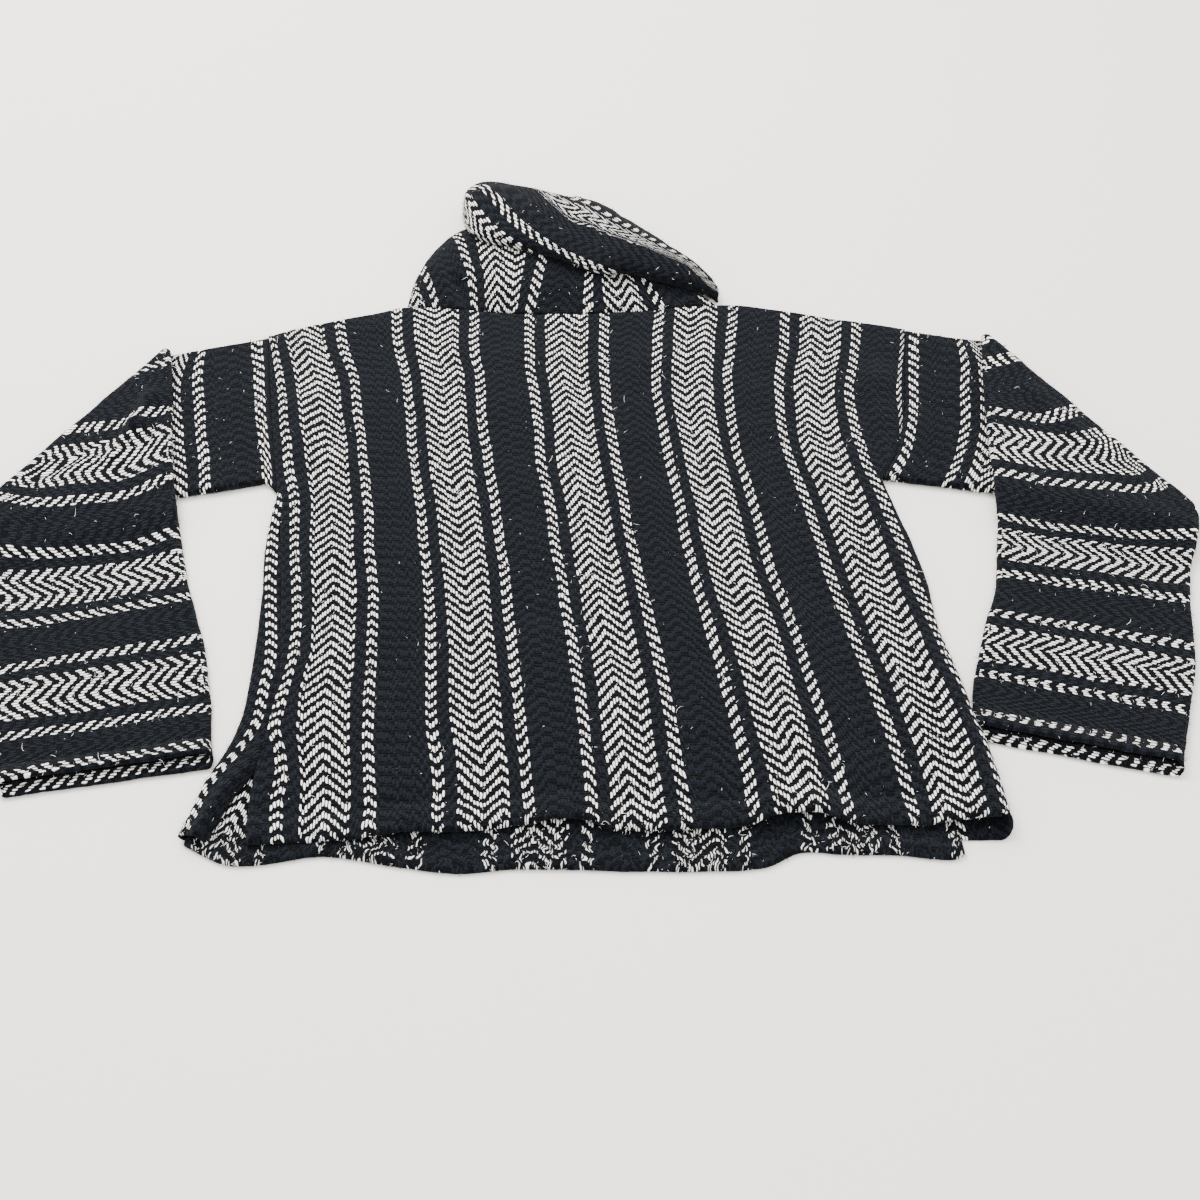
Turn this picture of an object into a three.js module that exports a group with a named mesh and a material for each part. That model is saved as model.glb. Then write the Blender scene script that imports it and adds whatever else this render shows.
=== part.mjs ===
import * as THREE from 'three';

// A baja hoodie of thick striped blanket cloth, laid flat on a table with its back side up.
// Millimetres. x runs to the right of the photo, y from the hems towards the hood, z up.
// The tables below are measured from the middle of the back hem and moved to the
// middle of the whole garment by CENTRE_X and CENTRE_Y.

// Cloth
const CLOTH = 3;
const HALF = CLOTH / 2;
const SEAM_GAP = 0.3;
const EDGE_RADIUS = 2.5;
const TOP_MID = HALF + 2 * EDGE_RADIUS;
const SETTLED_MID = HALF + CLOTH + 0.7;
const CENTRE_X = -0.4;
const CENTRE_Y = 348.4;

// Reads one column of a table at a key, smoothly between its rows
function read(table, key, column) {
  const last = table.length - 1;
  let i = 0;
  while (i < last - 1 && (table[i + 1].key - key) * Math.sign(table[last].key - table[0].key) < 0) i += 1;
  const a = table[i];
  const b = table[i + 1];
  const span = b.key - a.key;
  const f = Math.min(1, Math.max(0, (key - a.key) / span));
  const before = table[Math.max(0, i - 1)];
  const after = table[Math.min(last, i + 2)];
  const slopeA = ((b[column] - before[column]) / (b.key - before.key)) * span;
  const slopeB = ((after[column] - a[column]) / (after.key - a.key)) * span;
  const f2 = f * f;
  const f3 = f2 * f;
  return (2 * f3 - 3 * f2 + 1) * a[column] + (f3 - 2 * f2 + f) * slopeA
    + (3 * f2 - 2 * f3) * b[column] + (f3 - f2) * slopeB;
}

function named(columns, rows) {
  return rows.map((row) => Object.fromEntries(columns.map((name, i) => [name, row[i]])));
}

function mix(a, b, f) {
  return a + (b - a) * f;
}

function soft(f) {
  const g = Math.min(1, Math.max(0, f));
  return g * g * (3 - 2 * g);
}

// Closes two grids of points, one over the other, into one solid
function closed(upper, lower) {
  const rows = upper.length;
  const columns = upper[0].length;
  const points = [];
  upper.forEach((row) => row.forEach((p) => points.push(p.x, p.y, p.z)));
  lower.forEach((row) => row.forEach((p) => points.push(p.x, p.y, p.z)));
  const under = rows * columns;
  const index = [];
  const quad = (a, b, c, d) => index.push(a, b, c, a, c, d);
  for (let r = 0; r < rows - 1; r += 1) {
    for (let c = 0; c < columns - 1; c += 1) {
      const a = r * columns + c;
      quad(a, a + 1, a + columns + 1, a + columns);
      quad(under + a, under + a + columns, under + a + columns + 1, under + a + 1);
    }
  }
  for (let c = 0; c < columns - 1; c += 1) {
    const end = (rows - 1) * columns + c;
    quad(c, under + c, under + c + 1, c + 1);
    quad(end + 1, under + end + 1, under + end, end);
  }
  for (let r = 0; r < rows - 1; r += 1) {
    const a = r * columns;
    const b = a + columns - 1;
    quad(a + columns, under + a + columns, under + a, a);
    quad(b, under + b, under + b + columns, b + columns);
  }
  const geometry = new THREE.BufferGeometry();
  geometry.setAttribute('position', new THREE.Float32BufferAttribute(points, 3));
  geometry.setIndex(index);
  return geometry;
}

// Thickens a grid of middle points into a cloth wall
function wall(grid) {
  const rows = grid.length;
  const columns = grid[0].length;
  const face = (sign) => grid.map((row, r) => row.map((p, c) => {
    const along = grid[Math.min(rows - 1, r + 1)][c].clone().sub(grid[Math.max(0, r - 1)][c]);
    const left = row[Math.max(0, c - 1)];
    const right = row[Math.min(columns - 1, c + 1)];
    const into = p.clone().sub(left).normalize();
    const out = right.clone().sub(p).normalize();
    const normal = into.clone().add(out).cross(along).normalize();
    const inside = c > 0 && c < columns - 1;
    const bend = inside ? Math.max(0.5, Math.cos(into.angleTo(out) / 2)) : 1;
    const point = p.clone().addScaledVector(normal, (sign * HALF) / bend);
    point.z = Math.max(0, point.z);
    return point;
  }));
  return closed(face(1), face(-1));
}

// Body outline: the top edge runs from one armhole over the neck seam to the other
const TOP_EDGE = named(['key', 'y'], [
  [-300, 524], [-269, 538], [-233, 548], [-196, 559], [-171, 566], [-103, 560], [-38, 556],
  [46, 560], [123, 569], [177, 561], [232, 549], [294, 535],
]);
const BACK_HEM = named(['key', 'y'], [
  [-250, -12], [-219, -11], [-170, -8], [-131, -2], [-86, -1], [-53, 4], [-16, 8], [0, 7],
  [14, 0], [50, -1], [82, 1], [117, 3], [138, 10], [157, 12], [172, 12], [185, 6], [212, 4],
  [250, 4], [290, 6], [312, 6],
]);
const FRONT_HEM = named(['key', 'y'], [
  [-300, -7], [-262, -26], [-238, -27], [-192, -20], [-138, -28], [-94, -34], [-45, -30],
  [34, -32], [81, -32], [128, -29], [152, -17], [182, -18], [229, -19], [266, -22], [276, -14],
]);
const LEFT_ARMPIT_Y = 331;
const RIGHT_ARMPIT_Y = 347;
const LEFT_ARMPIT_X = -266;
const RIGHT_ARMPIT_X = 251;

// Armhole edges, by distance up the body
const ARMHOLE = named(['key', 'left', 'right'], [
  [540, -299, 292], [500, -293, 287], [466, -288, 282.5], [440, -284, 280], [415, -280, 276],
  [379, -274, 267], [360, -271, 258], [347, -268.5, 251], [331, -266, 250],
]);

// Body sides below the armpits: pressed edge and seam at the left, pressed edge and
// hidden seam underneath at the right
const SIDES = named(['key', 'left', 'seam', 'right'], [
  [345, -266, -261.5, 251], [331, -266, -261, 254], [300, -268, -259, 262],
  [268, -268.5, -255, 270], [231, -266, -250, 276], [183, -264, -245, 279],
  [144, -264, -241, 287], [112, -264.5, -242, 292], [90, -267, -244, 296], [70, -272, -246, 301],
  [42, -283, -248, 306], [15, -291, -249, 309], [-20, -301, -246, 312],
]);

// Middle lines of the five herringbone bands across the back
const BANDS = named(['key', 'b1', 'b2', 'b3', 'b4', 'b5'], [
  [560, -273, -144, -22, 99, 217], [512, -262, -140, -21.5, 95, 211],
  [466, -246, -132, -19, 92, 202], [415, -235, -127, -13.5, 94, 200],
  [367, -226, -121, -9, 100, 204], [320, -219, -112, -2, 107, 215],
  [275, -214, -106, 3, 112, 224], [232, -208, -100, 10, 119, 231],
  [191, -204, -95, 15.5, 128, 240], [151, -203, -91, 22, 136, 248],
  [112, -203, -87, 27, 142, 257], [75, -201, -82, 30, 149, 264],
  [39, -196, -77, 34, 154, 269], [-10, -193, -73, 37, 160, 272],
]);
const REPEAT = 117;
const BAND_NAMES = ['b1', 'b2', 'b3', 'b4', 'b5'];
const LEFT_CUT = -281;

// Soft folds of the back: from a point to a point, half width and height
const FOLDS = named(['x0', 'y0', 'x1', 'y1', 'width', 'height'], [
  [-12, -10, -28, 150, 26, 5], [158, -10, 128, 190, 38, 8], [292, -10, 272, 210, 36, 8],
  [-128, -10, -132, 190, 40, 2.5], [258, 470, 226, 340, 22, 4], [-258, 440, -238, 330, 20, 3],
  [-70, 500, -52, 300, 48, 2], [66, 490, 84, 320, 48, 2], [60, -10, 66, 120, 26, 2],
]);

const UNDER_TOP_X = 246;
const UNDER_SLANT = 0.075;

function underX(y) {
  return UNDER_TOP_X + (LEFT_ARMPIT_Y - y) * UNDER_SLANT;
}

function foldHeight(x, y) {
  let height = 0;
  FOLDS.forEach((fold) => {
    const dx = fold.x1 - fold.x0;
    const dy = fold.y1 - fold.y0;
    const along = ((x - fold.x0) * dx + (y - fold.y0) * dy) / (dx * dx + dy * dy);
    const f = Math.min(1, Math.max(0, along));
    const off = Math.hypot(x - fold.x0 - dx * f, y - fold.y0 - dy * f) / fold.width;
    height += fold.height * Math.exp(-off * off) * (1 - 0.75 * f);
  });
  return height;
}

function bandX(u, y) {
  const place = Math.min(3.999, Math.max(0, u / REPEAT + 2));
  const i = Math.floor(place);
  return mix(read(BANDS, y, BAND_NAMES[i]), read(BANDS, y, BAND_NAMES[i + 1]), place - i);
}

// Distance along the body: 0 at the top edge, 1 at the armpits, 2 at the hem
function bodyY(x, v, hem) {
  const across = (x - LEFT_ARMPIT_X) / (RIGHT_ARMPIT_X - LEFT_ARMPIT_X);
  const armpit = mix(LEFT_ARMPIT_Y, RIGHT_ARMPIT_Y, Math.min(1, Math.max(0, across)));
  return v <= 1 ? mix(read(TOP_EDGE, x, 'y'), armpit, v) : mix(armpit, read(hem, x, 'y'), v - 1);
}

function settle(placeX, v, hem) {
  let y = mix(560, 0, v / 2);
  for (let i = 0; i < 4; i += 1) y = bodyY(placeX(y), v, hem);
  return { x: placeX(y), y };
}

const BODY_ROWS = [0, 0.018, 0.06, 0.25, 0.5, 0.75, 0.95, 0.975, 1, 1.03, 1.12, 1.28, 1.45, 1.62, 1.78,
  1.88, 1.95, 2];

// Back panel: from the left seam across, round the right edge and under it
const BACK_STATIONS = [-264, -234, -195, -156, -117, -78, -39, 0, 39, 78, 117, 156, 195, 234];
const ARC = [90, 60, 30, 0, -30, -60, -90];
const FLAT_STEP = 1.4;

function backTop(x, y, v, inset) {
  const settled = mix(TOP_MID, SETTLED_MID, soft(inset / 30));
  const shoulder = mix(HALF + CLOTH + 0.4, settled, soft(v / 0.05));
  return shoulder + foldHeight(x, y) * soft(v / 0.3) * soft(inset / 20);
}

function backRow(v) {
  const open = v > 1;
  const row = [];
  const leftEdge = (y) => (v >= 1 ? read(SIDES, y, 'seam') : read(ARMHOLE, y, 'left'));
  const rightEdge = (y) => (open ? read(SIDES, y, 'right') : read(ARMHOLE, y, 'right'));
  const edge = settle(leftEdge, v, BACK_HEM);
  row.push(new THREE.Vector3(edge.x, edge.y, backTop(edge.x, edge.y, v, 0)));
  BACK_STATIONS.forEach((u) => {
    const spot = settle((y) => (u < -234
      ? mix(leftEdge(y), bandX(-234, y), (u - LEFT_CUT) / (-234 - LEFT_CUT))
      : bandX(u, y)), v, BACK_HEM);
    const inset = Math.min(spot.x - edge.x, rightEdge(spot.y) - spot.x);
    row.push(new THREE.Vector3(spot.x, spot.y, backTop(spot.x, spot.y, v, inset)));
  });
  const right = settle(rightEdge, v, BACK_HEM);
  if (!open) {
    const beside = settle((y) => mix(bandX(234, y), rightEdge(y), 0.5), v, BACK_HEM);
    row.push(new THREE.Vector3(beside.x, beside.y, backTop(beside.x, beside.y, v, 20)));
    for (let k = ARC.length; k >= 0; k -= 1) {
      const x = right.x - k * FLAT_STEP;
      row.push(new THREE.Vector3(x, bodyY(x, v, BACK_HEM), backTop(x, right.y, v, 0)));
    }
    return row;
  }
  const lift = 5.5 * soft((v - 1.35) / 0.5);
  const radius = EDGE_RADIUS + lift;
  const turnX = right.x - HALF - radius;
  const besideX = mix(row[row.length - 1].x, turnX, 0.5);
  const besideY = bodyY(besideX, v, BACK_HEM);
  const level = HALF + 2 * radius;
  const besideZ = mix(backTop(besideX, besideY, v, 20), level, 0.5);
  row.push(new THREE.Vector3(besideX, besideY, besideZ));
  ARC.forEach((degrees) => {
    const a = THREE.MathUtils.degToRad(degrees);
    const x = turnX + radius * Math.cos(a);
    row.push(new THREE.Vector3(x, right.y, HALF + radius + radius * Math.sin(a)));
  });
  row.push(new THREE.Vector3(underX(right.y), right.y, HALF));
  return row;
}

const backPanel = wall(BODY_ROWS.map(backRow));

// Front panel: flat on the table, turned up round the left edge to the side seam;
// below the seam the turned edge of the side slit stands up as a lip
const FRONT_FRACTIONS = [0.06, 0.13, 0.2, 0.27, 0.34, 0.41, 0.48, 0.55, 0.62, 0.69, 0.76, 0.83, 0.9, 0.96];
const LIP = named(['key', 'x', 'z', 'radius'], [
  [345, -261.5, 6.5, 2.5], [331, -261, 6.5, 2.5], [300, -259, 6.5, 2.5], [268, -255, 6.5, 2.5],
  [231, -250, 6.5, 2.5], [183, -245, 6.5, 2.5], [144, -241, 6.5, 2.5], [112, -242, 6.5, 2.5],
  [70, -246.5, 7.2, 2.6], [46, -257, 10.5, 3.4], [27, -268, 13, 4], [5, -277, 14, 4],
  [-20, -287, 14, 4],
]);

function frontRow(v) {
  const open = v > 1;
  const leftEdge = (y) => (open ? read(SIDES, y, 'left') : read(ARMHOLE, y, 'left'));
  const rightEdge = (y) => (v >= 1 ? underX(y) - SEAM_GAP : read(ARMHOLE, y, 'right'));
  const left = settle(leftEdge, v, FRONT_HEM);
  const radius = read(LIP, left.y, 'radius');
  const turnX = left.x + HALF + radius;
  const row = [];
  const arc = [...ARC].reverse();
  if (open) {
    const seam = settle((y) => read(LIP, y, 'x') - SEAM_GAP, v, BACK_HEM);
    row.push(new THREE.Vector3(Math.max(seam.x, turnX + 0.8), seam.y, read(LIP, seam.y, 'z')));
    ARC.forEach((degrees) => {
      const a = THREE.MathUtils.degToRad(degrees);
      const x = turnX - radius * Math.cos(a);
      row.push(new THREE.Vector3(x, left.y, HALF + radius + radius * Math.sin(a)));
    });
  } else {
    for (let k = 0; k <= arc.length; k += 1) {
      const x = left.x + k * FLAT_STEP;
      row.push(new THREE.Vector3(x, bodyY(x, v, FRONT_HEM), HALF));
    }
  }
  const start = row[row.length - 1].x;
  FRONT_FRACTIONS.forEach((f) => {
    const spot = settle((y) => mix(start, rightEdge(y), f), v, FRONT_HEM);
    row.push(new THREE.Vector3(spot.x, spot.y, HALF));
  });
  const right = settle(rightEdge, v, FRONT_HEM);
  row.push(new THREE.Vector3(right.x, right.y, HALF));
  return row;
}

const frontPanel = wall(BODY_ROWS.map(frontRow));

// Sleeves: a flattened tube that runs out from the armhole, folds back over itself on a
// slanting line and runs down beside the body. The inner edge is the shoulder edge.
const FIRST_Z = HALF + EDGE_RADIUS;
const FOLD_GAP = 0.5;
const FOLD_RADIUS = FIRST_Z + FOLD_GAP / 2;
const FOLD_ANGLES = [0, 30, 60, 90, 120, 150, 180];
const LEFT_FOLD = { ax: -382, ay: 500, bx: -505, by: 309 };
const RIGHT_FOLD = { ax: 359, ay: 515, bx: 505, by: 305 };
const LEFT_RINGS = named(['ax', 'ay', 'bx', 'by', 'z'], [
  [-372, 452, -511, 300, 12.9], [-362, 388, -511, 290, 12.9], [-354, 345, -509, 278, 13.2],
  [-344, 300, -506, 260, 9], [-335, 262, -500, 237, 4], [-321, 217, -489, 182, 4],
  [-305, 172, -478, 140, 4], [-297, 140, -469, 108, 4], [-289, 107, -459, 74, 4],
  [-284, 71, -443, 42, 4.6], [-280, 52, -434, 29, 4.9],
]);
const RIGHT_RINGS = named(['ax', 'ay', 'bx', 'by', 'z'], [
  [352, 462, 509, 298, 12.9], [348, 412, 508, 290, 12.9], [344, 360, 506, 282, 13.2],
  [342, 306, 501, 268, 9], [337, 268, 491, 243, 4], [331, 229, 481, 206, 4],
  [318, 194, 473, 161, 4], [309, 162, 465, 133, 4], [303, 132, 454, 100, 4],
  [302, 100, 443, 64, 4.6], [305, 78, 438, 45, 4.9],
]);

const TUBE_STATIONS = [0, 0.06, 0.25, 0.5, 0.75, 0.95, 1];

// One flattened ring of the tube: places along it and heights from its middle
function tubeLoop(length, radius, inset) {
  const loop = [];
  const start = radius + HALF;
  const r = radius + inset;
  const flat = TUBE_STATIONS.map((f) => Math.min(length - start, Math.max(start, f * length)));
  flat.forEach((a) => loop.push([a, -r]));
  [-60, -30, 0, 30, 60].forEach((degrees) => {
    const a = THREE.MathUtils.degToRad(degrees);
    loop.push([length - start + r * Math.cos(a), r * Math.sin(a)]);
  });
  [...flat].reverse().forEach((a) => loop.push([a, r]));
  [60, 30, 0, -30, -60].forEach((degrees) => {
    const a = THREE.MathUtils.degToRad(degrees);
    loop.push([start - r * Math.cos(a), r * Math.sin(a)]);
  });
  return loop;
}

function tube(rings, flip) {
  const outer = [];
  const inner = [];
  rings.forEach((ring) => {
    outer.push(ring(HALF));
    inner.push(ring(-HALF));
  });
  const count = outer[0].length;
  const points = [];
  [...outer, ...inner].forEach((ring) => ring.forEach((p) => points.push(p.x, p.y, p.z)));
  const index = [];
  const quad = (a, b, c, d) => (flip ? index.push(a, c, b, a, d, c) : index.push(a, b, c, a, c, d));
  const inside = rings.length * count;
  for (let r = 0; r < rings.length - 1; r += 1) {
    for (let k = 0; k < count; k += 1) {
      const n = (k + 1) % count;
      quad(r * count + k, (r + 1) * count + k, (r + 1) * count + n, r * count + n);
      quad(inside + r * count + k, inside + r * count + n,
        inside + (r + 1) * count + n, inside + (r + 1) * count + k);
    }
  }
  const end = (rings.length - 1) * count;
  for (let k = 0; k < count; k += 1) {
    const n = (k + 1) % count;
    quad(k, n, inside + n, inside + k);
    quad(end + n, end + k, inside + end + k, inside + end + n);
  }
  const geometry = new THREE.BufferGeometry();
  geometry.setAttribute('position', new THREE.Float32BufferAttribute(points, 3));
  geometry.setIndex(index);
  return geometry;
}

function sleeve(side, fold, rows) {
  const name = side < 0 ? 'left' : 'right';
  const topY = side < 0 ? 524.5 : 534;
  const pitY = side < 0 ? LEFT_ARMPIT_Y : RIGHT_ARMPIT_Y;
  const along = new THREE.Vector3(fold.bx - fold.ax, fold.by - fold.ay, 0).normalize();
  const outward = new THREE.Vector3(side * Math.abs(along.y), Math.abs(along.x), 0);
  const foldLength = Math.hypot(fold.bx - fold.ax, fold.by - fold.ay);
  const foldAt = (a) => new THREE.Vector3(fold.ax, fold.ay, 0).addScaledVector(along, a);
  const rings = [];
  [0, 0.03, 0.35, 0.7].forEach((f) => {
    rings.push((inset) => {
      const armLength = topY - pitY;
      return tubeLoop(armLength, EDGE_RADIUS, inset).map(([a, h]) => {
        const y = topY - a;
        const x = read(ARMHOLE, y, name) + side * SEAM_GAP;
        const end = foldAt((a / armLength) * foldLength);
        return new THREE.Vector3(mix(x, end.x, f), mix(y, end.y, f), FIRST_Z + h);
      });
    });
  });
  FOLD_ANGLES.forEach((degrees) => {
    const angle = THREE.MathUtils.degToRad(degrees);
    rings.push((inset) => tubeLoop(foldLength, EDGE_RADIUS, inset).map(([a, h]) => {
      const reach = FOLD_RADIUS - h;
      const p = foldAt(a).addScaledVector(outward, reach * Math.sin(angle));
      p.z = FIRST_Z + FOLD_RADIUS - reach * Math.cos(angle);
      return p;
    }));
  });
  rows.forEach((row, i) => {
    const length = Math.hypot(row.bx - row.ax, row.by - row.ay);
    const radius = EDGE_RADIUS + Math.max(0, row.z - 4) * (i > rows.length - 3 ? 1 : 0);
    rings.push((inset) => tubeLoop(length, radius, inset).map(([a, h]) => new THREE.Vector3(
      mix(row.ax, row.bx, a / length), mix(row.ay, row.by, a / length), row.z - h,
    )));
  });
  return tube(rings, side < 0);
}

const leftSleeve = sleeve(-1, LEFT_FOLD, LEFT_RINGS);
const rightSleeve = sleeve(1, RIGHT_FOLD, RIGHT_RINGS);

// Hood: a flat lower layer, a rounded upper side that rises from the neck seam, and the
// crown folded over it towards the body as a soft roll
const HOOD_OUTLINE = named(['key', 'left', 'right'], [
  [0, -170, 118], [26, -168, 96], [52, -163, 72], [77, -153, 48], [94, -142, 32],
  [108, -129, 18], [124, -108, 0],
]);
const HOOD_RISE = named(['key', 'z'], [
  [0, 7], [8, 10], [28, 16], [52, 20], [77, 22], [94, 21], [108, 17], [124, 8],
]);
const HOOD_ROWS = [0, 8, 22, 40, 60, 80, 96, 110, 124];
const HOOD_COLUMNS = [0, 0.03, 0.09, 0.18, 0.3, 0.42, 0.55, 0.68, 0.8, 0.9, 1];
const HOOD_BASE = CLOTH + SEAM_GAP;
const NECK_Y = 563;

function hoodSpot(across, away, spread) {
  const left = read(HOOD_OUTLINE, away, 'left') - spread;
  const right = read(HOOD_OUTLINE, away, 'right') + spread;
  const x = mix(left, right, across);
  const start = read(TOP_EDGE, x, 'y') + 2 * SEAM_GAP + away;
  return { x, y: mix(start, NECK_Y + away, soft(away / 50)) };
}

function hoodTop(across, away) {
  const side = Math.abs(2 * across - 1);
  const round = Math.sqrt(Math.max(0, 1 - side ** 5));
  return mix(HOOD_BASE + CLOTH, Math.max(HOOD_BASE + CLOTH, read(HOOD_RISE, away, 'z')), round);
}

const hoodUnderRows = HOOD_ROWS.map((away) => HOOD_COLUMNS.map((f) => {
  const spot = hoodSpot(f, away, 2);
  return new THREE.Vector3(spot.x, spot.y + (away > 100 ? 2 : 0), HALF);
}));
const hoodUnder = closed(
  hoodUnderRows.map((row) => row.map((p) => new THREE.Vector3(p.x, p.y, CLOTH))),
  hoodUnderRows.map((row) => row.map((p) => new THREE.Vector3(p.x, p.y, 0))),
);
const hoodBack = closed(
  HOOD_ROWS.map((away) => HOOD_COLUMNS.map((f) => {
    const spot = hoodSpot(f, away, 0);
    return new THREE.Vector3(spot.x, spot.y, hoodTop(f, away));
  })),
  HOOD_ROWS.map((away) => HOOD_COLUMNS.map((f) => {
    const spot = hoodSpot(f, away, 0);
    return new THREE.Vector3(spot.x, spot.y, HOOD_BASE);
  })),
);

// Crown roll: front edge, far edge and crest height at stations from its tip to its end
const CROWN = named(['fx', 'fy', 'gx', 'gy', 'crest'], [
  [-122, 676, -124, 702, 26], [-118, 655, -121, 720, 36], [-102, 638, -102, 732, 41],
  [-65, 626, -66, 724, 42], [-30, 610, -28, 712, 41], [4, 588, 0, 701, 40],
  [35, 577, 32, 678, 38], [62, 564, 60, 652, 35], [92, 568, 90, 624, 29],
  [112, 574, 112, 598, 20], [120, 575, 120, 584, 13],
]);
const CROWN_CLEAR = 0.35;
const CROWN_RIM = 4;

function hoodSurface(x, y) {
  const away = y - NECK_Y;
  if (away > 128) return 0;
  const left = read(HOOD_OUTLINE, Math.max(0, away), 'left') - 3;
  const right = read(HOOD_OUTLINE, Math.max(0, away), 'right') + 3;
  if (x < left || x > right) return 0;
  const across = Math.min(1, Math.max(0, (x - left) / (right - left)));
  return hoodTop(across, Math.max(0, away)) + CROWN_CLEAR;
}

const crownRings = CROWN.map((row) => {
  const ring = [];
  const lower = [0.04, 0.2, 0.36, 0.52, 0.68, 0.84, 0.96];
  lower.forEach((f) => {
    const x = mix(row.fx, row.gx, f);
    const y = mix(row.fy, row.gy, f);
    const spread = [-14, -7, 0, 7, 14].map((d) => hoodSurface(x, y + d));
    ring.push(new THREE.Vector3(x, y, Math.max(...spread)));
  });
  const ends = [ring[lower.length - 1].z, ring[0].z];
  [15, 35, 60, 90, 120, 145, 165].forEach((degrees) => {
    const a = THREE.MathUtils.degToRad(degrees);
    const f = 0.5 + 0.5 * Math.cos(a);
    const base = mix(ends[1], ends[0], f) + CROWN_RIM * 0.5;
    const z = base + Math.max(3, row.crest - base) * Math.sin(a) ** 0.7;
    ring.push(new THREE.Vector3(mix(row.fx, row.gx, f), mix(row.fy, row.gy, f), z));
  });
  return ring;
});

function loft(rings) {
  const count = rings[0].length;
  const points = [];
  rings.forEach((ring) => ring.forEach((p) => points.push(p.x, p.y, p.z)));
  const index = [];
  for (let r = 0; r < rings.length - 1; r += 1) {
    for (let k = 0; k < count; k += 1) {
      const n = (k + 1) % count;
      const a = r * count;
      const b = a + count;
      index.push(a + k, b + n, b + k, a + k, a + n, b + n);
    }
  }
  [0, rings.length - 1].forEach((r) => {
    const middle = new THREE.Vector3();
    rings[r].forEach((p) => middle.addScaledVector(p, 1 / count));
    points.push(middle.x, middle.y, middle.z);
    const hub = points.length / 3 - 1;
    for (let k = 0; k < count; k += 1) {
      const n = (k + 1) % count;
      if (r === 0) index.push(hub, r * count + n, r * count + k);
      else index.push(hub, r * count + k, r * count + n);
    }
  });
  const geometry = new THREE.BufferGeometry();
  geometry.setAttribute('position', new THREE.Float32BufferAttribute(points, 3));
  geometry.setIndex(index);
  return geometry;
}

const hoodCrown = loft(crownRings);

// Assembly
const hoodie = new THREE.Group();
hoodie.name = 'baja_hoodie';

function add(name, geometry, colour) {
  geometry.translate(-CENTRE_X, -CENTRE_Y, 0);
  geometry.computeVertexNormals();
  const material = new THREE.MeshStandardMaterial({ color: colour, roughness: 0.95, metalness: 0 });
  material.name = `${name}_cloth`;
  const mesh = new THREE.Mesh(geometry, material);
  mesh.name = name;
  hoodie.add(mesh);
}

add('front_panel', frontPanel, '#3a3c42');
add('back_panel', backPanel, '#3f4147');
add('sleeve_left', leftSleeve, '#3f4147');
add('sleeve_right', rightSleeve, '#3f4147');
add('hood_under', hoodUnder, '#34363c');
add('hood_back', hoodBack, '#3f4147');
add('hood_crown', hoodCrown, '#3a3c42');

export default hoodie;
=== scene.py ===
import math
import random

import bpy
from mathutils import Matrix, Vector, noise


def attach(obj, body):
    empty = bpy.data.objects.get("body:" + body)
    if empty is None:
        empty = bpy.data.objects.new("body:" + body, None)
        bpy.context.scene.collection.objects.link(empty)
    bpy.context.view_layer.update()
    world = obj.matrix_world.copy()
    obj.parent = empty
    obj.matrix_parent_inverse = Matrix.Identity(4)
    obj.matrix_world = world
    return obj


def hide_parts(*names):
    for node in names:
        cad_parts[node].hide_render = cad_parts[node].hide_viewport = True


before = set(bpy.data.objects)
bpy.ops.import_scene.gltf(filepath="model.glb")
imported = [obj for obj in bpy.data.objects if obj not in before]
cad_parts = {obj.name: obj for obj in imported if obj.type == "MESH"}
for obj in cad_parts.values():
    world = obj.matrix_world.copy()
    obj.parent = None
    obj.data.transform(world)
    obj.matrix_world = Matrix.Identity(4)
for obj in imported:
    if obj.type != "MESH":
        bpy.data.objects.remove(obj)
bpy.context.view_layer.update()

# A baja hoodie of thick striped blanket cloth, laid flat on a table with its back side up.
# Lengths are in millimetres, measured from the middle of the back hem; CENTRE moves them
# to the frame's origin when a mesh is made.

# Front panel
# The front of the body lies on the table. At the left it turns up round the pressed edge
# to the side seam, and below the seam its hemmed edge stands up along the open slit.
# It is cut from the cloth that every piece is cut from: thick loose cotton twill of slubby
# yarn, its weft black and its warp striped black and white, with a herringbone band between
# two narrow ropes and then a black field. The pattern is charted in warps and wefts.

REPEAT = 117.0
WARPS_IN_REPEAT = 50
WARP = REPEAT / WARPS_IN_REPEAT
WEFT = 2.55
HALF_BAND = 8.5
ROPE_FROM_BAND = 14.5
HALF_ROPE = 2.0
HALF_CHEVRON = 7.0
APEX = -1.5
FLOAT_SHARE = 0.56
# How far the whole cloth, each yarn and a rubbed hem wander, across and along the warps
WIDE_DRIFT = (5.0, 9.0, 0.0)
YARN_DRIFT = (1.5, 3.0, 0.0)
MEAN_DRIFT = (3.25, 6.0, 0.0)
HEM_DRIFT = (11.0, 15.0, 0.0)
YARN_RELIEF = 0.0016
# The white yarn on top of a float, and darker as painted shade where the float sinks away
WHITE_TOP = "#fffcf4"
WHITE_LOW = "#7d786e"
# The black yarn on top of a float, and darker as painted shade where it dips under
BLACK_TOP = "#13181f"
BLACK_LOW = "#010102"
LINT = "#565a63"


# An sRGB colour code as linear light
def linear(code):
    parts = [int(code[i:i + 2], 16) / 255 for i in (1, 3, 5)]
    return [c / 12.92 if c <= 0.04045 else ((c + 0.055) / 1.055) ** 2.4 for c in parts] + [1.0]


# One shader node: its inputs are values, sockets or earlier nodes
def add(tree, kind, inputs=(), **settings):
    made = tree.nodes.new("ShaderNode" + kind)
    for key, value in settings.items():
        setattr(made, key, value)
    for key, value in inputs.items() if isinstance(inputs, dict) else enumerate(inputs):
        if isinstance(value, bpy.types.Node):
            coloured = getattr(value, "data_type", "") == "RGBA"
            value = value.outputs[2 if coloured else 0]
        if isinstance(value, bpy.types.NodeSocket):
            tree.links.new(value, made.inputs[key])
        else:
            made.inputs[key].default_value = value
    return made


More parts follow.
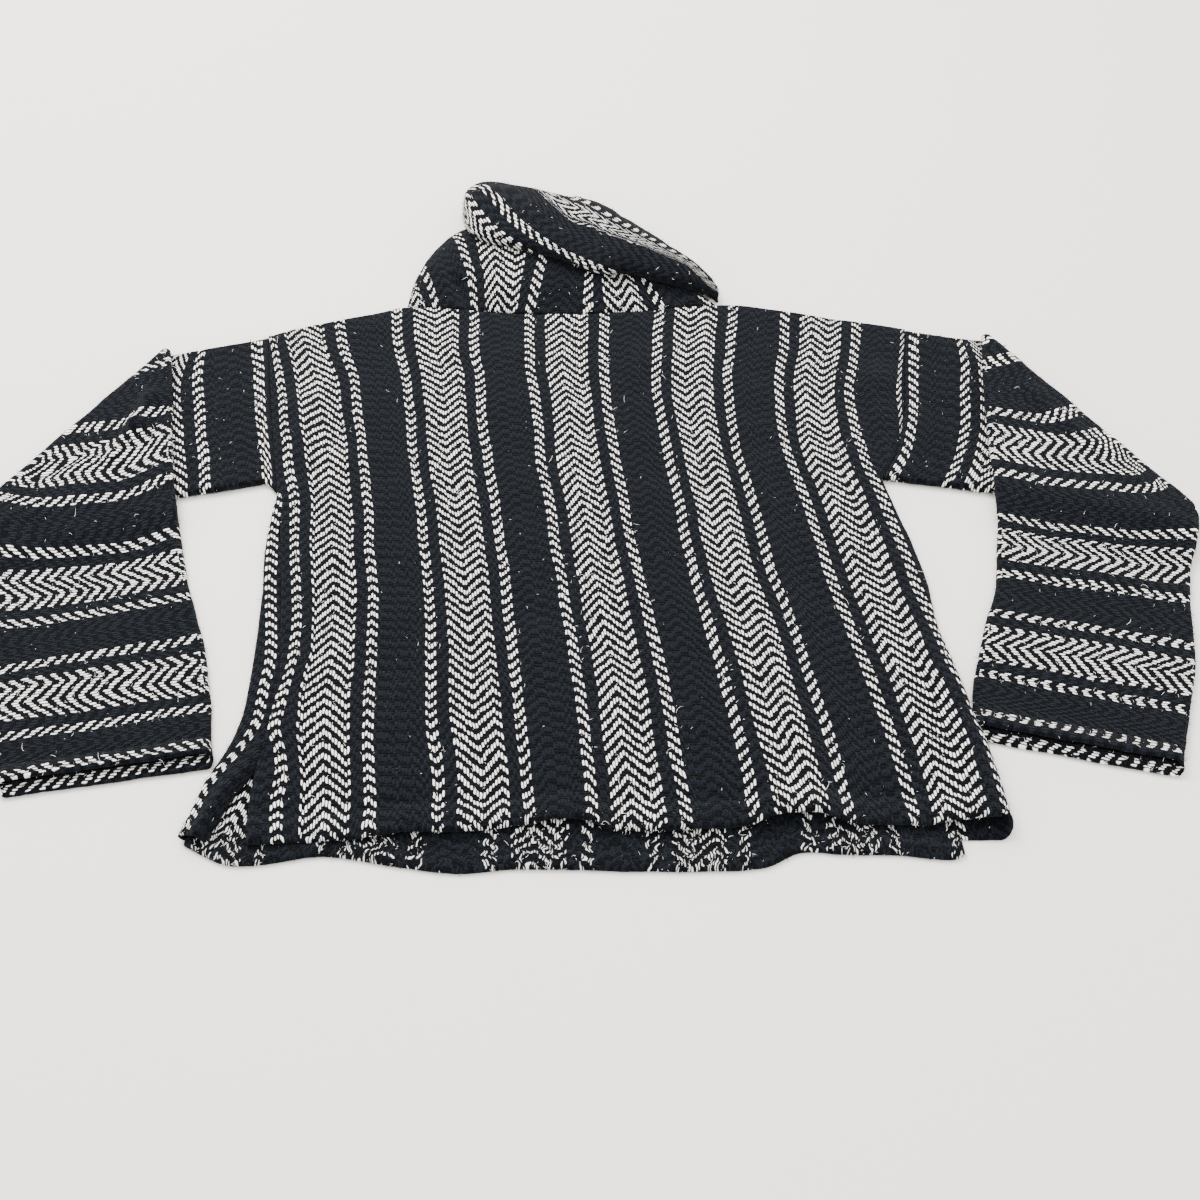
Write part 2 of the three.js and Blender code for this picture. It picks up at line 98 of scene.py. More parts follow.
def blanket(name):
    material = bpy.data.materials.new(name)
    material.use_nodes = True
    tree = material.node_tree
    shader = tree.nodes["Principled BSDF"]
    cloth = add(tree, "TexCoord").outputs["UV"]
    # Yarn wanders: wide waves of the whole cloth and small ones of each yarn
    wide = add(tree, "TexNoise", {"Vector": cloth, "Scale": 0.018, "Detail": 1.0})
    waved = add(tree, "VectorMath", [wide.outputs["Color"], WIDE_DRIFT, cloth],
                operation="MULTIPLY_ADD")
    fine = add(tree, "TexNoise", {"Vector": cloth, "Scale": 0.21, "Detail": 1.0})
    yarns = add(tree, "VectorMath", [fine.outputs["Color"], YARN_DRIFT, waved],
                operation="MULTIPLY_ADD")
    # Hems are turned and rubbed, so their pattern breaks up
    rough = add(tree, "TexNoise", {"Vector": cloth, "Scale": 0.11, "Detail": 1.0})
    ragged = add(tree, "Attribute", attribute_name="ragged").outputs["Fac"]
    broken = add(tree, "VectorMath", [rough.outputs["Color"], (-0.5, -0.5, 0.0)], operation="ADD")
    broken = add(tree, "VectorMath", [broken, HEM_DRIFT], operation="MULTIPLY")
    broken = add(tree, "VectorMath", {0: broken, 3: ragged}, operation="SCALE")
    yarns = add(tree, "VectorMath", [yarns, broken], operation="ADD")
    shifted = add(tree, "VectorMath", [yarns, MEAN_DRIFT], operation="SUBTRACT")
    place = add(tree, "SeparateXYZ", [shifted])
    # Which warp this is, and how far across it
    across = add(tree, "Math", [place.outputs[0], 1 / WARP, 0.5], operation="MULTIPLY_ADD")
    warp = add(tree, "Math", [across], operation="FLOOR")
    in_warp = add(tree, "Math", [across], operation="FRACT")
    from_band = add(tree, "Math", [warp, WARPS_IN_REPEAT / 2], operation="PINGPONG")
    in_band = add(tree, "Math", [from_band, HALF_BAND], operation="LESS_THAN")
    in_rope = add(tree, "Math", [from_band, ROPE_FROM_BAND, HALF_ROPE], operation="COMPARE")
    white_warp = add(tree, "Math", [in_band, in_rope], operation="MAXIMUM")
    # Threading: one pointed twill runs on across bands, ropes and black fields alike
    leaning = add(tree, "Mix", {0: 0.55, 2: warp, 3: across})
    pointed = add(tree, "Math", [leaning, APEX], operation="SUBTRACT")
    thread = add(tree, "Math", [pointed, HALF_CHEVRON], operation="PINGPONG")
    # Each warp floats over two wefts, then dips under two
    own = add(tree, "TexWhiteNoise", {"W": warp}, noise_dimensions="1D")
    pick = add(tree, "Math", [place.outputs[1], 1 / WEFT, 0.0], operation="MULTIPLY_ADD")
    step = add(tree, "Math", [pick, thread], operation="ADD")
    scatter = add(tree, "Mix", {0: white_warp, 2: 3.0, 3: 0.5})
    uneven = add(tree, "Math", [own, scatter, step], operation="MULTIPLY_ADD")
    quarter = add(tree, "Math", [uneven, 0.25], operation="MULTIPLY")
    cycle = add(tree, "Math", [quarter], operation="FRACT")
    floats = add(tree, "Math", [quarter], operation="FLOOR")
    one = add(tree, "CombineXYZ", [warp, floats, 0.0])
    chance = add(tree, "TexWhiteNoise", {"Vector": one}, noise_dimensions="2D")
    reach = add(tree, "Math", [chance, 0.16, FLOAT_SHARE - 0.08], operation="MULTIPLY_ADD")
    on_top = add(tree, "Math", [cycle, reach], operation="LESS_THAN")
    along = add(tree, "Math", [cycle, reach], operation="DIVIDE")
    along = add(tree, "Math", [along, 2.0, -1.0], operation="MULTIPLY_ADD")
    along = add(tree, "Math", [along, along], operation="MULTIPLY")
    along = add(tree, "Math", [along, along], operation="MULTIPLY")
    along = add(tree, "Math", [1.0, along], operation="SUBTRACT")
    side = add(tree, "Math", [in_warp, 2.0, -1.0], operation="MULTIPLY_ADD")
    side = add(tree, "Math", [side, side], operation="MULTIPLY")
    side = add(tree, "Math", [side, -1.0, 1.0], operation="MULTIPLY_ADD")
    plump = add(tree, "Math", [along, side], operation="MULTIPLY")
    in_pick = add(tree, "Math", [pick], operation="FRACT")
    dip = add(tree, "Math", [in_pick, 2.0, -1.0], operation="MULTIPLY_ADD")
    dip = add(tree, "Math", [dip, dip], operation="MULTIPLY")
    dip = add(tree, "Math", [dip, -0.3, 0.32], operation="MULTIPLY_ADD")
    raised = add(tree, "Math", [plump, 0.6, 0.4], operation="MULTIPLY_ADD")
    height = add(tree, "Mix", {0: on_top, 2: dip, 3: raised})
    # Fluff of the yarn, drawn out along it
    drawn = add(tree, "VectorMath", [shifted, (1.0, 0.45, 1.0)], operation="MULTIPLY")
    fluff = add(tree, "TexNoise", {"Vector": drawn, "Scale": 1.3, "Detail": 3.0,
                                   "Roughness": 0.65})
    # worn here is not wear but the yarn's fluffy tone plus the rise of its float: it shapes each
    # white float and paints shade at the float's ends and sides
    worn = add(tree, "Math", [fluff, 0.5, plump], operation="MULTIPLY_ADD")
    frayed = add(tree, "Math", [ragged, -0.3, worn], operation="MULTIPLY_ADD")
    edge = add(tree, "MapRange", {"Value": frayed, "From Min": 0.6, "From Max": 0.9})
    shows = add(tree, "Math", [edge, on_top], operation="MULTIPLY")
    shows = add(tree, "Math", [shows, white_warp], operation="MULTIPLY")
    rubbed = add(tree, "Math", [ragged, -0.3, 1.0], operation="MULTIPLY_ADD")
    shows = add(tree, "Math", [shows, rubbed], operation="MULTIPLY")
    # Colours of the two yarns, both painted darker as shade where the yarn sinks and lighter on
    # the float tops, and pale lint caught in the black
    # Painted shade: the white dims where its float sinks, with random tone from float to float
    # and along the yarn
    float_shade_and_tone = add(tree, "Math", [chance, 0.35, worn], operation="MULTIPLY_ADD")
    bright = add(tree, "MapRange", {"Value": float_shade_and_tone, "From Min": 0.75, "From Max": 1.3})
    white = add(tree, "Mix", {0: bright, 6: linear(WHITE_LOW), 7: linear(WHITE_TOP)},
                data_type="RGBA")
    grains = add(tree, "TexNoise", {"Vector": cloth, "Scale": 0.62, "Detail": 2.0})
    # Painted shade and light: the black is darker where the yarn dips under and lighter on float
    # tops, with random grain
    lit = add(tree, "Math", [height, 0.5, grains], operation="MULTIPLY_ADD")
    lit = add(tree, "MapRange", {"Value": lit, "From Min": 0.56, "From Max": 1.15})
    black = add(tree, "Mix", {0: lit, 6: linear(BLACK_LOW), 7: linear(BLACK_TOP)},
                data_type="RGBA")
    specks = add(tree, "TexNoise", {"Vector": cloth, "Scale": 0.33, "Detail": 2.0})
    specks = add(tree, "MapRange", {"Value": specks, "From Min": 0.71, "From Max": 0.78,
                                    "To Max": 0.5})
    dusty = add(tree, "Mix", {0: specks, 6: black, 7: linear(LINT)}, data_type="RGBA")
    colour = add(tree, "Mix", {0: shows, 6: dusty, 7: white}, data_type="RGBA")
    relief = add(tree, "Math", [fluff, 0.35, height], operation="MULTIPLY_ADD")
    bump = add(tree, "Bump", {"Height": relief, "Distance": YARN_RELIEF, "Strength": 1.0})
    tree.links.new(colour.outputs[2], shader.inputs["Base Color"])
    tree.links.new(bump.outputs[0], shader.inputs["Normal"])
    shader.inputs["Roughness"].default_value = 0.96
    shader.inputs["Specular IOR Level"].default_value = 0.03
    shader.inputs["Sheen Weight"].default_value = 0.03
    shader.inputs["Sheen Roughness"].default_value = 0.6
    return material


# Matt cotton with plump pale yarns over a dark, faintly speckled ground, so that the pattern
# reads as raised threads and not as print
striped_cloth = blanket("striped_blanket_cloth")

CENTRE_X = -0.4
CENTRE_Y = 348.4
THICKNESS = 2.2
LOW_MID = 1.5
EDGE_RADIUS = 2.5


# A table with named columns
def named(columns, rows):
    return [dict(zip(columns, row)) for row in rows]


# A table's value at a key, on a smooth line through its rows
def read(table, key, column):
    last = len(table) - 1
    way = 1 if table[last]["key"] > table[0]["key"] else -1
    i = 0
    while i < last - 1 and (table[i + 1]["key"] - key) * way < 0:
        i += 1
    a, b = table[i], table[i + 1]
    before, after = table[max(0, i - 1)], table[min(last, i + 2)]
    span = b["key"] - a["key"]
    f = min(1.0, max(0.0, (key - a["key"]) / span))
    slope_a = (b[column] - before[column]) / (b["key"] - before["key"]) * span
    slope_b = (after[column] - a[column]) / (after["key"] - a["key"]) * span
    return ((2 * f ** 3 - 3 * f * f + 1) * a[column] + (f ** 3 - 2 * f * f + f) * slope_a
            + (3 * f * f - 2 * f ** 3) * b[column] + (f ** 3 - f * f) * slope_b)


def mix(a, b, f):
    return a + (b - a) * f


def soft(f):
    g = min(1.0, max(0.0, f))
    return g * g * (3 - 2 * g)


TOP_EDGE = named(["key", "y"], [
    (-300, 524), (-269, 538), (-233, 548), (-196, 559), (-171, 566), (-103, 560), (-38, 556),
    (46, 560), (123, 569), (177, 561), (232, 549), (294, 535)])
FRONT_HEM = named(["key", "y"], [
    (-300, -7), (-262, -26), (-238, -27), (-192, -20), (-138, -28), (-94, -34), (-45, -30),
    (34, -32), (81, -32), (128, -29), (152, -17), (182, -18), (229, -19), (266, -22),
    (276, -14)])
BACK_HEM = named(["key", "y"], [
    (-250, -12), (-219, -11), (-170, -8), (-131, -2), (-86, -1), (-53, 4), (-16, 8), (0, 7),
    (14, 0), (50, -1), (82, 1), (117, 3), (138, 10), (157, 12), (172, 12), (185, 6),
    (212, 4), (250, 4), (290, 6), (312, 6)])
LEFT_ARMPIT = (-266, 331)
RIGHT_ARMPIT = (251, 347)
ARMHOLE = named(["key", "left", "right"], [
    (540, -299, 292), (500, -293, 287), (466, -288, 282.5), (440, -284, 280),
    (415, -280, 276), (379, -274, 267), (360, -271, 258), (347, -268.5, 251),
    (331, -266, 250)])
SIDES = named(["key", "left", "seam", "right"], [
    (345, -266, -261.5, 251), (331, -266, -261, 254), (300, -268, -259, 262),
    (268, -268.5, -255, 270), (231, -266, -250, 276), (183, -264, -245, 279),
    (144, -264, -241, 287), (112, -264.5, -242, 292), (90, -267, -244, 296),
    (70, -272, -246, 301), (42, -283, -248, 306), (15, -291, -249, 309),
    (-20, -301, -246, 312)])
LIP = named(["key", "x", "z", "radius"], [
    (345, -261.5, 6.5, 2.5), (331, -261, 6.5, 2.5), (300, -259, 6.5, 2.5),
    (268, -255, 6.5, 2.5), (231, -250, 6.5, 2.5), (183, -245, 6.5, 2.5),
    (144, -241, 6.5, 2.5), (112, -242, 6.5, 2.5), (70, -246.5, 7.2, 2.6),
    (46, -257, 10.5, 3.4), (27, -268, 13, 4), (5, -277, 14, 4), (-20, -287, 14, 4)])
FRONT_BANDS = named(["key", "x"], [
    (-281, -315), (-234, -268), (-117, -162), (0, -34), (117, 82), (234, 193), (318, 267)])
SLIT_TOP = 75
# How far each warp lies from the middle one, along the left seam and the slit of each panel
SIDE_CUTS = named(["key", "front", "back"], [
    (560, -281, -281), (340, -270, -281), (321, -271, -279), (276, -274, -282),
    (233, -276, -282), (191, -275, -282), (161, -275, -279), (142, -276, -277),
    (122, -277, -273), (104, -277, -272), (85, -280, -274), (67, -285, -281), (44, -287, -286),
    (20, -283, -286), (-5, -278, -287)])
LEFT_ROPE = named(["key", "x", "edge"], [
    (560, -307, -293), (466, -280, -266), (367, -261, -246), (321, -250, -236),
    (276, -245, -232), (233, -239, -226), (191, -233, -221), (161, -232, -219),
    (142, -233, -222), (122, -236, -224), (104, -237, -223), (85, -238, -222),
    (67, -232, -218), (44, -228, -214), (23, -229, -212), (-13, -224, -210)])
SLIT_HEM = 7.5
SEAM_GAP = 0.3
# A pressed edge's outline lies this far outside the middle of its cloth's roll
EDGE_INSET = 1.5
FRONT_HEM_RISE = 1.9
# The front's stripes lean to the right by this much from its hem to its shoulders, and
# more than that at the slit, where it is dragged aside
FRONT_LEAN = 23
FRONT_HEM_Y = -25
FRONT_LENGTH = 585
SLIT_LEAN = 20


# v runs down the body: 0 at the shoulders, 1 at the armpits, 2 at the hem
def body_y(x, v, hem):
    across = (x - LEFT_ARMPIT[0]) / (RIGHT_ARMPIT[0] - LEFT_ARMPIT[0])
    armpit = mix(LEFT_ARMPIT[1], RIGHT_ARMPIT[1], min(1, max(0, across)))
    if v <= 1:
        return mix(read(TOP_EDGE, x, "y"), armpit, v)
    return mix(armpit, read(hem, x, "y"), v - 1)


# The wefts are beaten closer towards the shoulders
def woven(y):
    above = max(0, y - 80)
    return y + 0.12 * above * above / (above + 120)


# A point whose x depends on its y and whose y depends on its x
def settle(place_x, v, hem):
    y = mix(560, 0, v / 2)
    for _ in range(4):
        y = body_y(place_x(y), v, hem)
    return place_x(y), y


# Where the right side seam lies hidden, under the wrapped edge
def under_x(y):
    return 246 + (LEFT_ARMPIT[1] - y) * 0.075


def steps(start, end, count):
    return [mix(start, end, i / count) for i in range(count + 1)]


def lump(x, y, z, size, height):
    return height * noise.noise(Vector((x / size, y / size, z / size)))


# Grids of points (x, y, z, across the warps, along the warps, how rubbed) made into one
# piece of cloth with its real thickness and a slightly lumpy hand
FINE_LUMPS = (7, 0.5)
WIDE_LUMPS = (28, 1.1)


def cloth_piece(name, grids, lumps, flip=False, ring=False, thickness=THICKNESS):
    places, faces, corners, ragged = [], [], [], []
    for grid in grids:
        start = len(places)
        wide = len(grid[0]) - (1 if ring else 0)
        for row in grid:
            places.extend(p[:3] for p in row[:wide])
            ragged.extend(p[5] if len(p) > 5 else 0.0 for p in row[:wide])
        for r in range(len(grid) - 1):
            for c in range(len(grid[0]) - 1):
                n = (c + 1) % wide
                quad = [(r, c, c), (r + 1, c, c), (r + 1, n, c + 1), (r, n, c + 1)]
                if flip:
                    quad.reverse()
                faces.append([start + a * wide + b for a, b, _ in quad])
                corners.extend(grid[a][b][3:5] for a, _, b in quad)
    mesh = bpy.data.meshes.new(name)
    mesh.from_pydata([((x - CENTRE_X) / 1000, (y - CENTRE_Y) / 1000, z / 1000)
                      for x, y, z in places], [], faces)
    uv = mesh.uv_layers.new(name="cloth")
    uv.data.foreach_set("uv", [c for corner in corners for c in corner])
    mesh.attributes.new("ragged", "FLOAT", "POINT").data.foreach_set("value", ragged)
    mesh.polygons.foreach_set("use_smooth", [True] * len(faces))
    normals = [Vector(v.vector) for v in mesh.vertex_normals]
    for vertex, normal, (x, y, z) in zip(mesh.vertices, normals, places):
        out = sum(lump(x, y, 3 * z, size, height * lumps)
                  for size, height in (FINE_LUMPS, WIDE_LUMPS))
        vertex.co += normal * (out / 1000)
        vertex.co.z = max(vertex.co.z, thickness / 2000)
    mesh.update()
    piece = bpy.data.objects.new(name, mesh)
    bpy.context.collection.objects.link(piece)
    mesh.materials.append(striped_cloth)
    shell = piece.modifiers.new("cloth thickness", "SOLIDIFY")
    shell.thickness = thickness / 1000
    shell.offset = 0.0
    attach(piece, "root")
    return piece


def fibre(name, colour):
    material = bpy.data.materials.new(name)
    material.use_nodes = True
    tree = material.node_tree
    shader = tree.nodes["Principled BSDF"]
    spot = add(tree, "TexCoord").outputs["Object"]
    tone = add(tree, "TexNoise", {"Vector": spot, "Scale": 700.0, "Detail": 1.0})
    dull = [c * 0.55 for c in linear(colour)[:3]] + [1.0]
    mixed = add(tree, "Mix", {0: tone, 6: dull, 7: linear(colour)}, data_type="RGBA")
    tree.links.new(mixed.outputs[2], shader.inputs["Base Color"])
    shader.inputs["Roughness"].default_value = 0.9
    shader.inputs["Specular IOR Level"].default_value = 0.1
    return material


# Soft ends that the yarns shed. The white ones catch the light on the stripes, and the
# black ones soften every outline against the table.
white_fluff = fibre("white_cotton_fluff", "#efebe0")
black_fluff = fibre("black_cotton_fluff", "#171a20")
FIBRE_WIDTHS = (0.34, 0.32, 0.27, 0.18)
SHORT_FIBRE = (1.4, 5.6, 2.4)
LONG_FIBRE = (6, 10)
LONG_SHARE = 0.03
WHITE_IN_STRIPES = 0.6
WHITE_IN_BLACK = 0.05
FIBRE_CURL = 0.45
ROOT_DEPTH = 0.25
FLOOR_GAP = 0.0004
EDGE_EXTRA = 8


# Fibres stand on every face that isn't underneath, thickest where the cloth turns away.
# closed is for a tube; below leaves out what another layer covers higher up the body.
def fluff(cloth, name, count, seed, closed=False, below=None):
    chance = random.Random(seed)
    mesh = cloth.data
    cloth_at = mesh.uv_layers["cloth"].data
    middle = sum((face.center for face in mesh.polygons), Vector()) / len(mesh.polygons)
    swell = sum((face.center - middle).dot(face.normal) * face.area for face in mesh.polygons)
    faces, weights = [], []
    for face in mesh.polygons:
        out = face.normal.copy()
        steep = abs(out.z) < 0.25
        if closed:
            out *= 1 if swell > 0 else -1
        elif (steep and out.dot(face.center - middle) < 0) or (not steep and out.z < 0):
            out = -out
        covered = below is not None and abs(out.z) > 0.8 and (
            face.center.y * 1000 + CENTRE_Y > below)
        if out.z > -0.25 and not covered:
            faces.append((face, out))
            weights.append(face.area * (1 + EDGE_EXTRA * (1 - abs(out.z)) ** 2))
    places, ribbons, colours = [], [], []
    for face, out in chance.choices(faces, weights, k=count):
        a, b, c, d = (mesh.vertices[i].co for i in face.vertices)
        f, g = chance.random(), chance.random()
        spot = a.lerp(b, f).lerp(d.lerp(c, f), g) + out * (THICKNESS / 2 - ROOT_DEPTH) / 1000
        warp = cloth_at[face.loop_start].uv[0] / WARP
        half = WARPS_IN_REPEAT / 2
        from_band = abs((warp + half) % WARPS_IN_REPEAT - half)
        striped = from_band < HALF_BAND or abs(from_band - ROPE_FROM_BAND) <= HALF_ROPE
        white = chance.random() < (WHITE_IN_STRIPES if striped else WHITE_IN_BLACK)
        way = Vector([chance.gauss(0, 1) for _ in range(3)]).normalized()
        way = (way + out * chance.uniform(0.3, 1.1)).normalized()
        long = chance.random() < LONG_SHARE
        length = chance.uniform(*LONG_FIBRE) if long else chance.triangular(*SHORT_FIBRE)
        bend = Vector([chance.gauss(0, FIBRE_CURL) for _ in range(3)])
        start = len(places)
        for wide in FIBRE_WIDTHS:
            side = way.cross(out)
            side = side.normalized() if side.length > 0.05 else Vector((1, 0, 0))
            for aside in (-wide / 2000, wide / 2000):
                at = spot + side * aside
                places.append((at.x, at.y, max(at.z, FLOOR_GAP)))
            spot = spot + way * (length / 4000)
            way = (way + bend).normalized()
        places.append((spot.x, spot.y, max(spot.z, FLOOR_GAP)))
        ribbons += [(start, start + 1, start + 3, start + 2),
                    (start + 2, start + 3, start + 5, start + 4),
                    (start + 4, start + 5, start + 7, start + 6),
                    (start + 6, start + 7, start + 8)]
        colours += [0 if white else 1] * 4
    strands = bpy.data.meshes.new(name)
    strands.from_pydata(places, [], ribbons)
    strands.materials.append(white_fluff)
    strands.materials.append(black_fluff)
    strands.polygons.foreach_set("material_index", colours)
    piece = bpy.data.objects.new(name, strands)
    bpy.context.collection.objects.link(piece)
    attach(piece, "root")
    return piece


# u runs across the warps from the middle one, and is read here from where the bands lie
def front_u(x):
    i = 0
    while i < len(FRONT_BANDS) - 2 and FRONT_BANDS[i + 1]["x"] < x:
        i += 1
    a, b = FRONT_BANDS[i], FRONT_BANDS[i + 1]
    return mix(a["key"], b["key"], (x - a["x"]) / (b["x"] - a["x"]))


def front_left(y, v):
    return read(SIDES, y, "left") if v > 1 else read(ARMHOLE, y, "left")


# One row across the layer on the table; drop and z turn the hem's last rows under
def front_low_row(v, drop=0.0, z=None):
    right_edge = (lambda y: under_x(y) - SEAM_GAP) if v >= 1 else (
        lambda y: read(ARMHOLE, y, "right"))
    left = settle(lambda y: front_left(y, v), v, FRONT_HEM)
    start = left[0] + (EDGE_INSET + read(LIP, left[1], "radius") if v > 1 else 0)
    row = []
    for f in steps(0, 1, 110):
        x, y = settle(lambda y: mix(start, right_edge(y), f), v, FRONT_HEM)
        lean = FRONT_LEAN * (y - FRONT_HEM_Y) / FRONT_LENGTH * soft((y - 60) / 200)
        if x < -200 and y < 80:
            lean = SLIT_LEAN * soft((y - FRONT_HEM_Y) / 90) * soft((-200 - x) / 60)
        rise = FRONT_HEM_RISE * soft((v - 1.955) / 0.03)
        row.append((x, y - drop, z if z else LOW_MID + rise, front_u(x - lean), woven(y) - drop,
                    soft((v - 1.88) / 0.08)))
    return row


# The strip that turns up at the left: over the slit's hem, out along the top and round
# the pressed edge to the layer below
def strip_row(v):
    left = settle(lambda y: front_left(y, v), v, FRONT_HEM)
    radius = read(LIP, left[1], "radius")
    turn = left[0] + EDGE_INSET + radius
    seam = settle(lambda y: read(LIP, y, "x") - SEAM_GAP, v, BACK_HEM)
    crest = (max(seam[0], turn + 0.8), seam[1], read(LIP, seam[1], "z"))
    flap = SLIT_HEM * soft((SLIT_TOP - crest[1]) / 25)
    path = []
    for f in steps(1, 0, 6)[:-1]:
        fall = (crest[2] - 4.2) * soft(f) * soft((SLIT_TOP - crest[1]) / 25)
        path.append((crest[0] + flap * f, crest[1], crest[2] - fall))
    for f in steps(0, 1, 7)[:-1]:
        level = LOW_MID + 2 * radius
        path.append((mix(crest[0], turn, f), mix(crest[1], left[1], f),
                     mix(crest[2], level, soft(f))))
    for degrees in range(90, -91, -15):
        a = math.radians(degrees)
        path.append((turn - radius * math.cos(a), left[1],
                     LOW_MID + radius + radius * math.sin(a)))
    lengths = [0.0]
    for p, q in zip(path, path[1:]):
        lengths.append(lengths[-1] + math.dist((p[0], p[2]), (q[0], q[2])))
    crest_u = read(SIDE_CUTS, crest[1], "front")
    worn = 0.8 * soft((v - 1.95) / 0.04)
    return [(*p, crest_u + gone - lengths[6], woven(p[1]), worn)
            for p, gone in zip(path, lengths)]


front_vs = steps(0, 1.9, 95) + steps(1.9, 2, 14)[1:]
# How far the hem's roll goes down past the edge, and how high it lies there
front_hem = [(0.9, 3.1), (1.5, 2.5), (1.7, 1.9), (1.2, 1.3), (-3, 1.15), (-10, 1.1)]
front_low = [front_low_row(v) for v in front_vs]
front_low += [front_low_row(2.0, drop, z) for drop, z in front_hem]
front_strip = [strip_row(v) for v in steps(1.0001, 2, 110)]
front_panel = cloth_piece("front_panel_cloth", [front_low, front_strip], 0.6)
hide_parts("front_panel")
front_fluff = fluff(front_panel, "front_panel_fluff", 2400, 1, below=12)

# Back panel
# The back of the body lies on the front, from the left seam across to the right, where it
# wraps round the pressed edge and under it to the hidden seam. Its hem is turned up once.

BANDS = named(["key", "b1", "b2", "b3", "b4", "b5"], [
    (560, -273, -144, -22, 99, 217), (512, -262, -140, -21.5, 95, 211),
    (466, -246, -132, -19, 92, 202), (415, -235, -127, -13.5, 94, 200),
    (367, -226, -121, -9, 100, 204), (320, -219, -112, -2, 107, 215),
    (275, -214, -106, 3, 112, 224), (232, -208, -100, 10, 119, 231),
    (191, -204, -95, 15.5, 128, 240), (151, -203, -91, 22, 136, 248),
    (112, -203, -87, 27, 142, 257), (75, -201, -82, 30, 149, 264),
    (39, -196, -77, 34, 154, 269), (-10, -193, -73, 37, 160, 272)])
BAND_NAMES = ["b1", "b2", "b3", "b4", "b5"]
OUTER_BAND = 2 * REPEAT
TOP_MID = LOW_MID + 2 * EDGE_RADIUS
SETTLED_MID = 5.2
SHOULDER_MID = 4.9
HEM_PUFF = 2.2
HEM_STITCH_DIP = 1.3
HIDDEN_CUT = -281.0
FOLDS = named(["x0", "y0", "x1", "y1", "width", "height"], [
    (-12, -10, -28, 150, 26, 5), (158, -10, 128, 190, 38, 8), (292, -10, 272, 210, 36, 8),
    (-128, -10, -132, 190, 40, 2.5), (258, 470, 226, 340, 22, 4),
    (-258, 440, -238, 330, 20, 3), (-70, 500, -52, 300, 48, 2), (66, 490, 84, 320, 48, 2),
    (60, -10, 66, 120, 26, 2)])


# The height of the soft ridges and troughs in a table, each along a line that may fade out
def crease(x, y, table, fade=0.0):
    height = 0.0
    for row in table:
        dx, dy = row["x1"] - row["x0"], row["y1"] - row["y0"]
        f = min(1, max(0, ((x - row["x0"]) * dx + (y - row["y0"]) * dy) / (dx * dx + dy * dy)))
        off = math.hypot(x - row["x0"] - dx * f, y - row["y0"] - dy * f) / row["width"]
        height += row["height"] * math.exp(-off * off) * (1 - fade * f)
    return height


# Where a warp lies at a height of the body, between the middles of two bands
def band_x(u, y):
    place = min(3.999, max(0, u / REPEAT + 2))
    i = int(place)
    return mix(read(BANDS, y, BAND_NAMES[i]), read(BANDS, y, BAND_NAMES[i + 1]), place - i)


# The same past the outer band on the left, where a rope runs close along the seam
def back_x(u, y, cut, edge):
    if u >= -OUTER_BAND:
        return band_x(u, y)
    marks = [(-OUTER_BAND, band_x(-OUTER_BAND, y)), (-254, read(LEFT_ROPE, y, "edge")),
             (-268, read(LEFT_ROPE, y, "x")), (cut, edge)]
    i = 0
    while i < 2 and u < marks[i + 1][0]:
        i += 1
    (u0, x0), (u1, x1) = marks[i], marks[i + 1]
    return mix(x0, x1, (u - u0) / (u1 - u0))


def back_top(x, y, v, inset):
    settled = mix(TOP_MID, SETTLED_MID, soft(inset / 30))
    shoulder = mix(SHOULDER_MID, settled, soft(v / 0.05))
    puffed = HEM_PUFF + lump(x, 0, 0, 16, HEM_PUFF)
    stitched = HEM_STITCH_DIP * math.exp(-((v - 1.933) / 0.009) ** 2)
    hem = puffed * soft((v - 1.94) / 0.03) - stitched
    return shoulder + crease(x, y, FOLDS, 0.75) * soft(v / 0.3) * soft(inset / 20) + hem


# The roll at the right edge is pressed flat above and opens out towards the hem
def right_roll(v):
    return EDGE_RADIUS + 5.5 * soft((v - 1.35) / 0.5)


def back_row(v):
    left_edge = (lambda y: read(SIDES, y, "seam")) if v >= 1 else (
        lambda y: read(ARMHOLE, y, "left"))
    right_edge = (lambda y: read(SIDES, y, "right")) if v > 1 else (
        lambda y: read(ARMHOLE, y, "right"))
    edge = settle(left_edge, v, BACK_HEM)
    row = []
    cut = read(SIDE_CUTS, edge[1], "back") if v >= 1 else HIDDEN_CUT
    for u in [*steps(cut, -OUTER_BAND, 16), *steps(-OUTER_BAND, OUTER_BAND, 140)[1:]]:
        x, y = settle(lambda y: back_x(u, y, cut, left_edge(y)), v, BACK_HEM)
        inset = min(x - edge[0], right_edge(y) - x)
        row.append((x, y, back_top(x, y, v, inset), u, woven(y),
                    0.55 * soft((v - 1.965) / 0.03)))
    right = settle(right_edge, v, BACK_HEM)
    spread = 1 + 0.08 * (1 - soft((v - 0.5) / 0.35))
    radius = right_roll(v)
    turn = right[0] - EDGE_INSET - radius
    end = turn if v > 1 else right[0]
    last = row[-1]
    for f in steps(0, 1, 14)[1:]:
        x = mix(last[0], end, f)
        y = body_y(x, v, BACK_HEM)
        z = back_top(x, y, v, 20 if v > 1 else right[0] - x)
        if v > 1:
            z = mix(z, LOW_MID + 2 * radius, soft(f))
        u = OUTER_BAND + (x - last[0]) * spread
        if v <= 1:
            u += 8 * soft((x - right[0] + 5) / 4)
        row.append((x, y, z, u, woven(y), last[5]))
    return row


